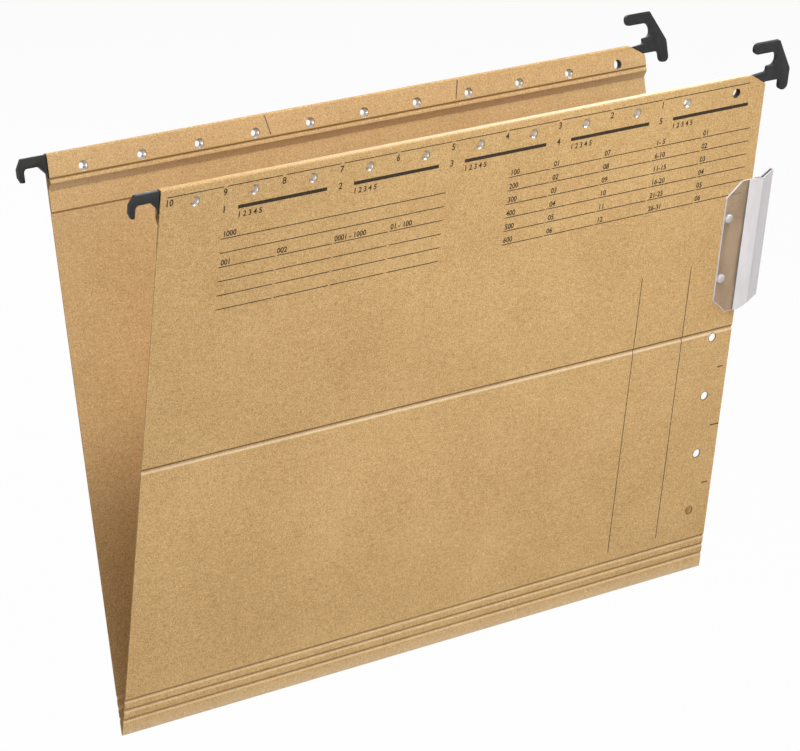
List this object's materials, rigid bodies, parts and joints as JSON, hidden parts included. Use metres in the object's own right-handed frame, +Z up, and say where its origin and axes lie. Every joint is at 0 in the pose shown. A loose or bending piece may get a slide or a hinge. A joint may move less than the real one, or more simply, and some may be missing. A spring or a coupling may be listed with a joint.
{
  "type": "hanging file folder",
  "caption": "Brown board hanging folder, open in a V, with hemmed top edges on hidden rails, black plug-in hooks at the corners, a creased cover and a clear label tab on its side.",
  "frame": {"origin": "midway between the four hook seats, at their height, where the folder hangs on its rails", "axes": "+X along the folder's width, to the right seen from the front cover; +Y from the cover to the rear wall; +Z up"},
  "size_m": [0.347, 0.086, 0.2502],
  "materials": {
    "board": "matte",
    "rail": "satin",
    "hook": "satin",
    "tab": "gloss",
    "label": "matte"
  },
  "bodies": {
    "rear": {"rear_panel": "board", "rear_rail": "rail", "rear_left_hook": "hook", "rear_right_hook": "hook"},
    "rear_base": {"rear_base_strip": "board"},
    "front_base": {"front_base_strip": "board"},
    "front_hinge": {"front_hinge_strip": "board"},
    "front_lower": {"front_lower_panel": "board"},
    "front_upper": {"front_upper_panel": "board", "front_rail": "rail", "front_left_hook": "hook", "front_right_hook": "hook", "label_tab": "tab"},
    "label": {"label_insert": "label"}
  },
  "joints": [
    {"name": "base_expand", "type": "slide", "parent": "rear", "child": "front_hinge", "axis": [0, -1, 0], "range_m": [0, 0.012]},
    {"name": "base_rear_fold", "type": "hinge", "parent": "rear", "child": "rear_base", "pos_m": [0, 0.00217, -0.22071], "axis": [-1, 0, 0], "range_deg": [0, 30]},
    {"name": "base_front_fold", "type": "hinge", "parent": "front_hinge", "child": "front_base", "pos_m": [0, -0.00217, -0.22071], "axis": [1, 0, 0], "range_deg": [0, 30]},
    {"name": "cover_open", "type": "hinge", "parent": "front_hinge", "child": "front_lower", "pos_m": [0, -0.00292, -0.21637], "axis": [1, 0, 0], "range_deg": [-18.5, 80]},
    {"name": "cover_crease", "type": "hinge", "parent": "front_lower", "child": "front_upper", "pos_m": [0, -0.02062, -0.11389], "axis": [1, 0, 0], "range_deg": [0, 130]},
    {"name": "label_slide", "type": "slide", "parent": "front_upper", "child": "label", "axis": [0, -0.1702, 0.9854], "range_m": [0, 0.035]}
  ],
  "couplings": [
    {"joint": "base_rear_fold", "follows": "base_expand", "rad_per_m": 43},
    {"joint": "base_front_fold", "follows": "base_expand", "rad_per_m": 43}
  ]
}
